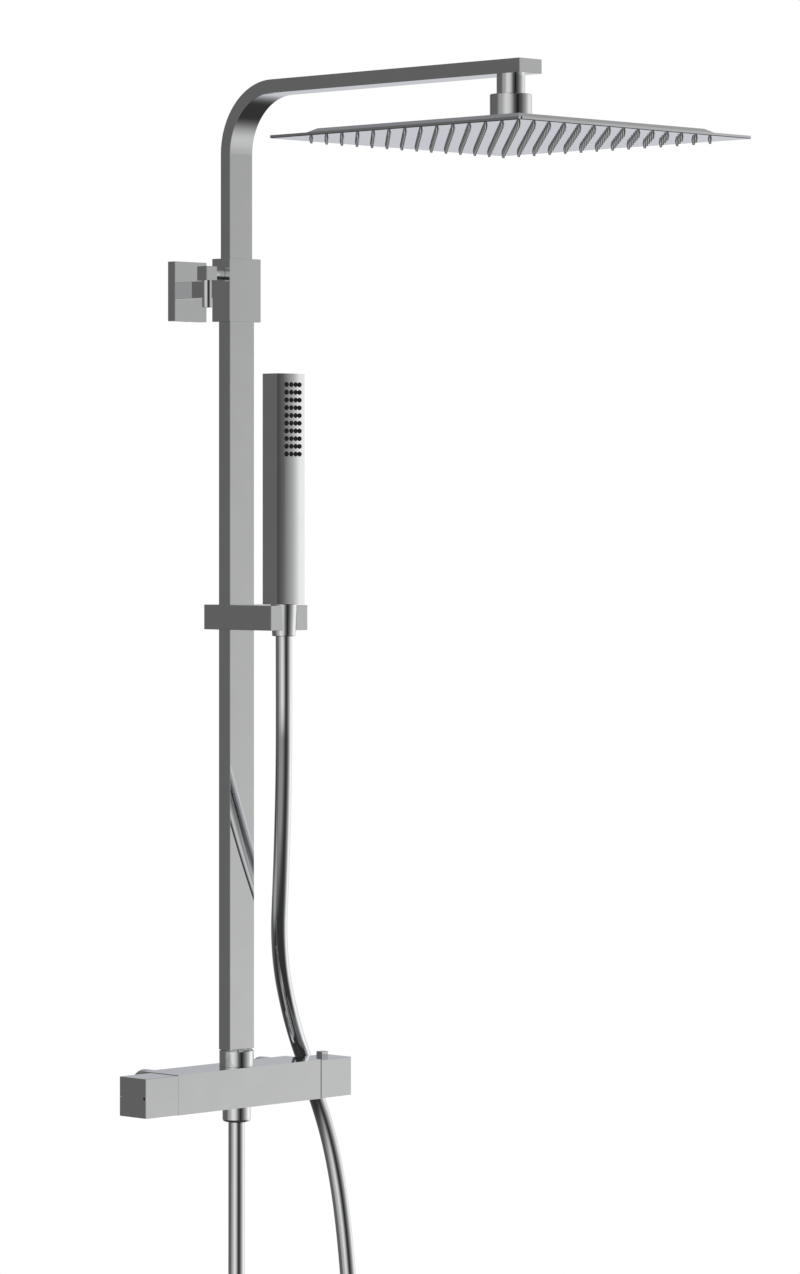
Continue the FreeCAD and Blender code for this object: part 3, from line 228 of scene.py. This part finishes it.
def build_floor():
    """A round pale floor one metre under the valve; it fades out towards its edge."""
    data = bpy.data.meshes.new("floor")
    shape = bmesh.new()
    bmesh.ops.create_circle(shape, cap_ends=True, segments=96, radius=FLOOR_RADIUS)
    shape.to_mesh(data)
    shape.free()
    floor = bpy.data.objects.new("floor", data)
    floor.location = (0, FLOOR_CENTRE_Y, FLOOR_LEVEL)
    bpy.context.collection.objects.link(floor)
    material = bpy.data.materials.new("floor")
    material.use_nodes = True
    tree = material.node_tree
    paint = tree.nodes["Principled BSDF"]
    paint.inputs["Base Color"].default_value = (0.9, 0.9, 0.9, 1)
    paint.inputs["Roughness"].default_value = 0.9
    place = add_node(tree, "ShaderNodeTexCoord").outputs["Object"]
    length = add_node(tree, "ShaderNodeVectorMath", operation="LENGTH")
    tree.links.new(place, length.inputs[0])
    plain = FLOOR_PLAIN_SHARE * FLOOR_RADIUS
    fade = map_range(tree, length.outputs["Value"], FLOOR_RADIUS, plain, smooth=True)
    tree.links.new(fade, paint.inputs["Alpha"])
    floor.data.materials.append(material)
    floor.visible_glossy = False


# name, place, width in metres and power in watts
LIGHT_PANELS = [
    ("key_panel", (-2.2, -2.6, 2.6), 1.8, 60.0),
    ("fill_panel", (2.4, -2.0, 1.4), 1.6, 30.0),
    ("top_panel", (0.0, -0.6, 3.4), 2.2, 70.0),
]
LIGHT_TARGET = (0, -0.3, 0.3)


def build_lights():
    """Soft panels for the floor, the rubber and the nylon; they don't show in the chrome."""
    for name, place, width, power in LIGHT_PANELS:
        data = bpy.data.lights.new(name, "AREA")
        data.size = width
        data.energy = power
        light = bpy.data.objects.new(name, data)
        light.location = place
        aim = Vector(LIGHT_TARGET) - Vector(place)
        light.rotation_euler = aim.to_track_quat("-Z", "Y").to_euler()
        light.visible_glossy = False
        light.visible_camera = False
        bpy.context.collection.objects.link(light)


# ---------------------------------------------------------------- materials
def new_material(name):
    material = bpy.data.materials.new(name)
    material.use_nodes = True
    tree = material.node_tree
    return material, tree, tree.nodes["Principled BSDF"]


def noise(tree, scale, detail, roughness, stretch=None):
    """Noise in the object's own metres, so a scale of 100 has patches of about a centimetre."""
    place = add_node(tree, "ShaderNodeTexCoord").outputs["Object"]
    if stretch:
        mapping = add_node(tree, "ShaderNodeMapping")
        mapping.inputs["Scale"].default_value = stretch
        tree.links.new(place, mapping.inputs["Vector"])
        place = mapping.outputs["Vector"]
    node = add_node(tree, "ShaderNodeTexNoise")
    node.inputs["Scale"].default_value = scale
    node.inputs["Detail"].default_value = detail
    node.inputs["Roughness"].default_value = roughness
    tree.links.new(place, node.inputs["Vector"])
    return node.outputs["Fac"]


def bump(tree, shader, height, distance):
    node = add_node(tree, "ShaderNodeBump")
    node.inputs["Distance"].default_value = distance
    tree.links.new(height, node.inputs["Height"])
    tree.links.new(node.outputs["Normal"], shader.inputs["Normal"])


def metal(name, tint, smooth, rough, wave, stretch=None, shade=0.97):
    """Metal whose roughness drifts between smooth and rough and whose colour drifts between the tint
    and shade times the tint; wave is the height in metres of its fine unevenness."""
    material, tree, shader = new_material(name)
    shader.inputs["Metallic"].default_value = 1.0
    drift = noise(tree, 14.0, 3.0, 0.55)
    tree.links.new(map_range(tree, drift, 0.3, 0.7, smooth, rough), shader.inputs["Roughness"])
    darker = tuple(channel * shade for channel in tint)
    patches = noise(tree, 38.0, 4.0, 0.6, stretch)
    tree.links.new(mix_colours(tree, map_range(tree, patches, 0.35, 0.65), darker, tint),
                   shader.inputs["Base Color"])
    fine = noise(tree, 900.0, 2.0, 0.5, stretch)
    bump(tree, shader, fine, wave)
    return material


def rubber(name, tint, grain):
    """Dull dark rubber with paler worn patches; grain is the height in metres of its texture."""
    material, tree, shader = new_material(name)
    shader.inputs["Roughness"].default_value = 0.42
    shader.inputs["Specular IOR Level"].default_value = 0.28
    worn = tuple(1.7 * channel + 0.002 for channel in tint)
    patches = noise(tree, 260.0, 4.0, 0.6)
    tree.links.new(mix_colours(tree, map_range(tree, patches, 0.45, 0.75), tint, worn),
                   shader.inputs["Base Color"])
    bump(tree, shader, noise(tree, 2600.0, 3.0, 0.6), grain)
    return material


def nylon(name):
    """Natural nylon, off-white and a little translucent."""
    material, tree, shader = new_material(name)
    shader.inputs["Roughness"].default_value = 0.48
    shader.inputs["Subsurface Weight"].default_value = 0.15
    shader.inputs["Subsurface Radius"].default_value = (0.004, 0.003, 0.002)
    patches = noise(tree, 120.0, 4.0, 0.6)
    tree.links.new(mix_colours(tree, patches, (0.80, 0.79, 0.74), (0.88, 0.87, 0.83)),
                   shader.inputs["Base Color"])
    bump(tree, shader, noise(tree, 1500.0, 3.0, 0.6), 0.00002)
    return material


MATERIALS = {
    "chrome": metal("chrome", CHROME_TINT, 0.015, 0.035, 0.0000002),
    "plated_plastic": metal("plated_plastic", CHROME_TINT, 0.02, 0.045, 0.0000003),
    # the rain head's nozzle cones look darker than its face
    "dark_plating": metal("dark_plating", (0.50, 0.505, 0.515), 0.05, 0.10, 0.0000003),
    "brushed_steel": metal("brushed_steel", (0.76, 0.77, 0.80), 0.03, 0.07, 0.0000004),
    "brass": metal("brass", (0.82, 0.62, 0.30), 0.16, 0.30, 0.000004, (0.2, 0.2, 1), 0.86),
    "black_rubber": rubber("black_rubber", (0.007, 0.007, 0.008), 0.00002),
    "white_nylon": nylon("white_nylon"),
    "hose_metal": metal("hose_metal", (0.78, 0.785, 0.795), 0.02, 0.05, 0.0000001),
}


def dress_frame():
    """Gives every CAD node the detailed material of its slot."""
    slots = {part["node"]: part["material_slot"] for part in frame["record"]["subparts"]}
    for name, node in frame["nodes"].items():
        for place in node.material_slots:
            place.material = MATERIALS[slots[name]]


# ---------------------------------------------------------------- hose
HOSE_DIAMETER = 0.0152
HOSE_ROUTE = [
    (0, -0.07085, -0.0294),
    (0, -0.07085, -0.140),
    (-0.001, -0.0715, -0.300),
    (0.0005, -0.0703, -0.426),
    (0.052, -0.066, -0.479),
    (0.126, -0.061, -0.4775),
    (0.177, -0.056, -0.427),
    (0.176, -0.051, -0.300),
    (0.1695, -0.046, -0.165),
    (0.1605, -0.0365, -0.075),
    (0.1355, -0.0325, -0.008),
    (0.093, -0.048, 0.052),
    (0.0475, -0.077, 0.122),
    (0.0305, -0.099, 0.200),
    (0.015, -0.118, 0.288),
    (0.0005, -0.133, 0.362),
    (0, -0.1332, 0.4317),
]
HOSE_SIDES = 64
HOSE_STEPS = 40               # rings of the tube for each stretch of the spline


def hose_line():
    """Points along the hose's centreline: one smooth spline guided by the route's points."""
    curve = bpy.data.curves.new("hose_line", "CURVE")
    curve.dimensions = "3D"
    curve.resolution_u = HOSE_STEPS
    spline = curve.splines.new("NURBS")
    spline.points.add(len(HOSE_ROUTE) - 1)
    for point, place in zip(spline.points, HOSE_ROUTE):
        point.co = (*place, 1)
    spline.order_u = 3
    spline.use_endpoint_u = True
    line = bpy.data.objects.new("hose_line", curve)
    bpy.context.collection.objects.link(line)
    bpy.context.view_layer.update()
    drawn = bpy.data.meshes.new_from_object(line)
    points = [vertex.co.copy() for vertex in drawn.vertices]
    bpy.data.objects.remove(line)
    bpy.data.meshes.remove(drawn)
    return points


def tube_mesh(name, points, radius, sides):
    """A round tube with closed ends along points; its cross-sections don't twist."""
    shape = bmesh.new()
    rings = []
    across = Vector((1, 0, 0))
    for i, point in enumerate(points):
        ahead = points[min(i + 1, len(points) - 1)] - points[max(i - 1, 0)]
        ahead.normalize()
        across = (across - ahead * across.dot(ahead)).normalized()
        beside = ahead.cross(across)
        ring = []
        for k in range(sides):
            turn = 2 * math.pi * k / sides
            ring.append(shape.verts.new(point + radius * (math.cos(turn) * across + math.sin(turn) * beside)))
        rings.append(ring)
    for first, second in zip(rings, rings[1:]):
        for k in range(sides):
            shape.faces.new((first[k], first[(k + 1) % sides], second[(k + 1) % sides], second[k]))
    shape.faces.new(list(reversed(rings[0])))
    shape.faces.new(rings[-1])
    return finish_mesh(name, shape)


def finish_mesh(name, shape):
    """Turns the edited shape into a smoothly shaded object."""
    bmesh.ops.recalc_face_normals(shape, faces=shape.faces)
    data = bpy.data.meshes.new(name)
    shape.to_mesh(data)
    shape.free()
    piece = bpy.data.objects.new(name, data)
    bpy.context.collection.objects.link(piece)
    for face in data.polygons:
        face.use_smooth = True
    return piece


def build_hose():
    points = hose_line()
    hose = tube_mesh("hose", points, HOSE_DIAMETER / 2, HOSE_SIDES)
    hose.data.materials.append(MATERIALS["hose_metal"])
    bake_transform(hose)
    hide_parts("shower_hose")


# ---------------------------------------------------------------- nozzles, index marks and spring
def lathe(shape, profile, place, sides):
    """Turns (radius, distance along Z) pairs round the place's Z; a radius of 0 closes the end."""
    rings = []
    for radius, along in profile:
        count = sides if radius > 0 else 1
        ring = []
        for k in range(count):
            turn = 2 * math.pi * k / sides
            point = Vector((radius * math.cos(turn), radius * math.sin(turn), along))
            ring.append(shape.verts.new(place @ point))
        rings.append(ring)
    for first, second in zip(rings, rings[1:]):
        for k in range(sides):
            after = (k + 1) % sides
            corners = [first[k % len(first)], first[after % len(first)],
                       second[after % len(second)], second[k % len(second)]]
            unique = list(dict.fromkeys(corners))
            shape.faces.new(unique)


def slab(shape, low, high):
    """A box between two corners."""
    middle = (Vector(low) + Vector(high)) / 2
    spread = Vector(high) - Vector(low)
    place = Matrix.Translation(middle) @ Matrix.Diagonal((*spread, 1))
    bmesh.ops.create_cube(shape, size=1.0, matrix=place)


def dress_piece(piece, slot, body, node=None, look=None):
    """Puts a piece on its body, in its slot's material or another look, in place of a CAD node."""
    piece.data.materials.append(MATERIALS[look or slot])
    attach(piece, body)
    if node:
        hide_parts(node)


HEAD_CENTRE_Y = -0.4169
HEAD_UNDERSIDE = 0.858
HEAD_NOZZLES = 14
HEAD_PITCH = 0.01903
HEAD_PLATE_HALF = 0.1265
HEAD_PLATE_LOW = HEAD_UNDERSIDE + 0.001
HEAD_PLATE_HIGH = HEAD_UNDERSIDE + 0.0022
HEAD_NOZZLE_SIDES = 20
SHARP_ANGLE = math.radians(35)
# radius and height over the underside, from the bottom of the orifice out to the tip and up to the root
HEAD_NOZZLE = [
    (0.0, -0.0030), (0.00045, -0.0030), (0.00045, -0.00435), (0.00055, -0.0044),
    (0.00098, -0.0044), (0.00112, -0.00428), (0.00205, -0.0001), (0.0021, 0.0002), (0.0021, 0.0012),
]


def build_head_nozzles():
    """196 tapered nozzles, each with an orifice, on the plate behind the rain head's face."""
    shape = bmesh.new()
    slab(shape, (-HEAD_PLATE_HALF, HEAD_CENTRE_Y - HEAD_PLATE_HALF, HEAD_PLATE_LOW),
         (HEAD_PLATE_HALF, HEAD_CENTRE_Y + HEAD_PLATE_HALF, HEAD_PLATE_HIGH))
    half = (HEAD_NOZZLES - 1) / 2
    for i in range(HEAD_NOZZLES):
        for k in range(HEAD_NOZZLES):
            x = (i - half) * HEAD_PITCH
            y = HEAD_CENTRE_Y + (k - half) * HEAD_PITCH
            place = Matrix.Translation((x, y, HEAD_UNDERSIDE))
            lathe(shape, HEAD_NOZZLE, place, HEAD_NOZZLE_SIDES)
    nozzles = finish_mesh("head_nozzles", shape)
    nozzles.data.set_sharp_from_angle(angle=SHARP_ANGLE)
    dress_piece(nozzles, "plated_plastic", "rain_head", "nozzle_plate", "dark_plating")


SPRAY_SEAM = -0.1415
SPRAY_TOP = 0.6474
SPRAY_ROWS = 10
SPRAY_ROW_PITCH = 0.00706
SPRAY_RADIUS = 0.0022
SPRAY_SIDES = 28
SPRAY_SHEET_HALF = 0.013
SPRAY_SHEET_DEPTH = 0.0012
SPRAY_SHEET_EDGE = 0.005      # how far the sheet reaches past the first and last rows
# distance from the middle, and how far each column's tips stand in front of the seam
SPRAY_COLUMNS = [(-0.00825, 0.0050), (-0.00275, 0.0055), (0.00275, 0.0055), (0.00825, 0.0050)]


def spray_nozzle(reach):
    """A nozzle's profile from the bottom of its orifice to its tip and back to the sheet."""
    return [
        (0.0, reach - 0.0012), (0.0005, reach - 0.0012), (0.0005, reach - 0.0001),
        (0.0006, reach), (0.00175, reach), (0.00195, reach - 0.0002),
        (SPRAY_RADIUS, 0.0002), (SPRAY_RADIUS, -0.0002),
    ]


def build_spray_nozzles():
    """Forty black nozzles on one rubber sheet, standing proud of the handset's rounded front."""
    shape = bmesh.new()
    last_row = SPRAY_TOP - (SPRAY_ROWS - 1) * SPRAY_ROW_PITCH
    slab(shape, (-SPRAY_SHEET_HALF, SPRAY_SEAM, last_row - SPRAY_SHEET_EDGE),
         (SPRAY_SHEET_HALF, SPRAY_SEAM + SPRAY_SHEET_DEPTH, SPRAY_TOP + SPRAY_SHEET_EDGE))
    forwards = Matrix.Rotation(math.radians(90), 4, "X")
    for row in range(SPRAY_ROWS):
        for x, reach in SPRAY_COLUMNS:
            place = Matrix.Translation((x, SPRAY_SEAM, SPRAY_TOP - row * SPRAY_ROW_PITCH)) @ forwards
            lathe(shape, spray_nozzle(reach), place, SPRAY_SIDES)
    nozzles = finish_mesh("spray_nozzles", shape)
    nozzles.data.set_sharp_from_angle(angle=SHARP_ANGLE)
    dress_piece(nozzles, "black_rubber", "handset", "handset_nozzles")


INDEX_RADIUS = 0.00135
INDEX_OFFSET = 0.0152
INDEX_DEPTH = 0.0008
INDEX_SIDES = 28
# The enamel's surface sinks a little towards the middle.
INDEX_PROFILE = [
    (0.0, 0.0), (INDEX_RADIUS, 0.0), (INDEX_RADIUS, 0.00062), (0.7 * INDEX_RADIUS, 0.00055), (0.0, 0.0005),
]
KNOB_END = 0.132
VALVE_AXIS_Y = -0.0722


def build_index_marks():
    """Dark enamel in the front index dimple on the outer end of each knob."""
    for side, body in ((-1, "flow_control"), (1, "temperature_control")):
        shape = bmesh.new()
        outwards = Matrix.Rotation(math.radians(side * 90), 4, "Y")
        foot = (side * (KNOB_END - INDEX_DEPTH), VALVE_AXIS_Y - INDEX_OFFSET, 0)
        lathe(shape, INDEX_PROFILE, Matrix.Translation(foot) @ outwards, INDEX_SIDES)
        marks = finish_mesh("index_marks_" + ("left" if side < 0 else "right"), shape)
        dress_piece(marks, "black_rubber", body)


SPRING_AXIS = (0.1225, -0.06055)
SPRING_LOW = 0.0054
SPRING_HIGH = 0.0126
SPRING_RADIUS = 0.0026
SPRING_WIRE = 0.00035
SPRING_TURNS = 4.8
SPRING_STEPS = 28             # points in each turn
SPRING_SIDES = 12


def build_button_spring():
    """The steel coil under the safety button, built at one fixed length."""
    count = round(SPRING_TURNS * SPRING_STEPS)
    points = []
    for i in range(count + 1):
        turn = 2 * math.pi * i / SPRING_STEPS
        rise = SPRING_LOW + (SPRING_HIGH - SPRING_LOW) * i / count
        points.append(Vector((
            SPRING_AXIS[0] + SPRING_RADIUS * math.cos(turn),
            SPRING_AXIS[1] + SPRING_RADIUS * math.sin(turn), rise,
        )))
    coil = tube_mesh("button_coil", points, SPRING_WIRE, SPRING_SIDES)
    coil.data.materials.append(MATERIALS["brushed_steel"])
    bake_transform(coil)
    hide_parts("button_spring")


# ---------------------------------------------------------------- scene
build_world()
build_floor()
build_lights()
dress_frame()
build_hose()
build_head_nozzles()
build_spray_nozzles()
build_index_marks()
build_button_spring()
